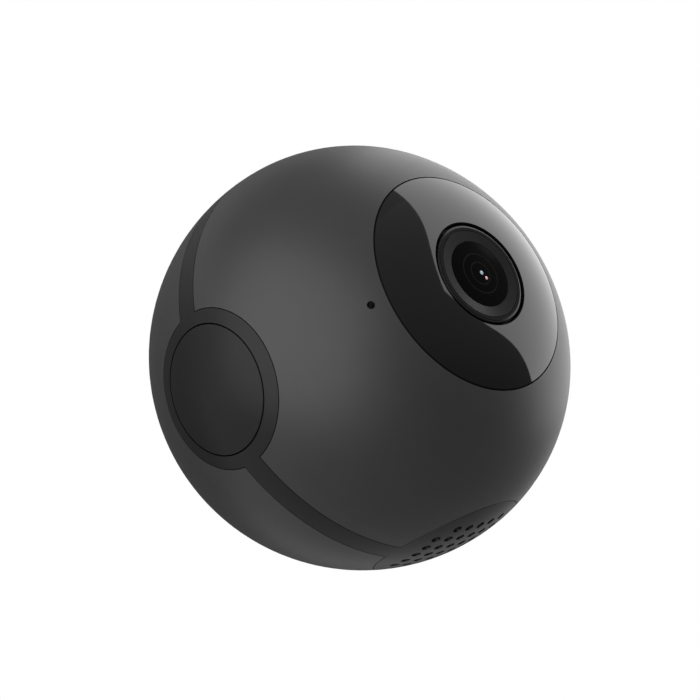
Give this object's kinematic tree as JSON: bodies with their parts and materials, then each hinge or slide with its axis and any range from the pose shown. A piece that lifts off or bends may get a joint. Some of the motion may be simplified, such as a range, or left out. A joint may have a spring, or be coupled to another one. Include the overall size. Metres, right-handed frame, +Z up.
{
  "type": "ball-shaped mini camera",
  "caption": "Ball-shaped mini camera: two shells on a belt with a side push button, a speaker grille, a glossy lens window and a rear tripod thread.",
  "frame": {"origin": "middle of the mouth of the tripod thread, at the back of the ball", "axes": "-Y is the way the lens looks, +Z is up, the push button is on -X and the speaker grille on -Z"},
  "size_m": [0.064, 0.0587, 0.064],
  "materials": {
    "shell_plastic": "fine matt dark grey",
    "frame_plastic": "fine matt, darker grey",
    "button_plastic": "fine matt, darker grey",
    "window_gloss": "polished black",
    "adhesive": "black adhesive tape",
    "lens_metal": "black anodised",
    "lens_glass": "coated glass",
    "filter_glass": "clear filter glass",
    "rubber": "black silicone",
    "inner_plastic": "black moulded plastic",
    "circuit_board": "green solder mask",
    "chip": "black chip package",
    "tin_plate": "tinned sheet",
    "spreader": "bare sheet",
    "flex": "amber film",
    "screw_steel": "plated steel",
    "cell": "silver pouch",
    "bush_metal": "turned stainless steel",
    "stem_plastic": "pale moulded plastic",
    "mesh": "black woven dust mesh",
    "speaker_shell": "black moulded plastic",
    "cone": "thin film",
    "magnet": "plated magnet",
    "bracket_steel": "zinc-plated sheet"
  },
  "bodies": {
    "camera_body": {"front_shell": "shell_plastic", "rear_shell": "shell_plastic", "mid_frame": "frame_plastic", "window": "window_gloss", "window_tape": "adhesive", "battery_pad": "adhesive", "lens_barrel": "lens_metal", "lens_retainer": "lens_metal", "baffle_ring": "lens_metal", "stop_ring": "lens_metal", "front_element": "lens_glass", "middle_element": "lens_glass", "rear_element": "lens_glass", "ir_filter": "filter_glass", "sensor_glass": "filter_glass", "lens_seal": "rubber", "mic_boot": "rubber", "speaker_gasket": "rubber", "button_return": "rubber", "thermal_pad": "rubber", "lens_holder": "inner_plastic", "rear_bracket": "inner_plastic", "board_connectors": "inner_plastic", "button_switch": "inner_plastic", "reset_switch": "inner_plastic", "sensor_board": "circuit_board", "main_board": "circuit_board", "usb_board": "circuit_board", "button_board": "circuit_board", "mic_board": "circuit_board", "image_sensor": "chip", "processor": "chip", "memory_chip": "chip", "shield_can": "tin_plate", "wifi_module": "tin_plate", "usb_socket": "tin_plate", "microphone": "tin_plate", "heat_spreader": "spreader", "sensor_ribbon": "flex", "sensor_screws": "screw_steel", "holder_screws": "screw_steel", "long_screws": "screw_steel", "usb_screws": "screw_steel", "speaker_screws": "screw_steel", "button_screws": "screw_steel", "battery": "cell", "tripod_bush": "bush_metal", "speaker_mesh": "mesh", "speaker_frame": "speaker_shell", "speaker_cone": "cone", "speaker_magnet": "magnet", "speaker_clamp": "bracket_steel", "button_bracket": "bracket_steel"},
    "button": {"button_cap": "button_plastic", "switch_plunger": "stem_plastic"},
    "reset_button": {"reset_plunger": "stem_plastic"}
  },
  "joints": [
    {"name": "button_press", "type": "slide", "parent": "camera_body", "child": "button", "axis": [1, 0, 0], "range_m": [0, 0.0004], "stiffness_N_per_m": 1500, "springref_m": -0.0006, "deforming": ["button_return"]},
    {"name": "reset_press", "type": "slide", "parent": "camera_body", "child": "reset_button", "axis": [0, -1, 0], "range_m": [0, 0.00025], "stiffness_N_per_m": 1500, "springref_m": -0.0005}
  ]
}
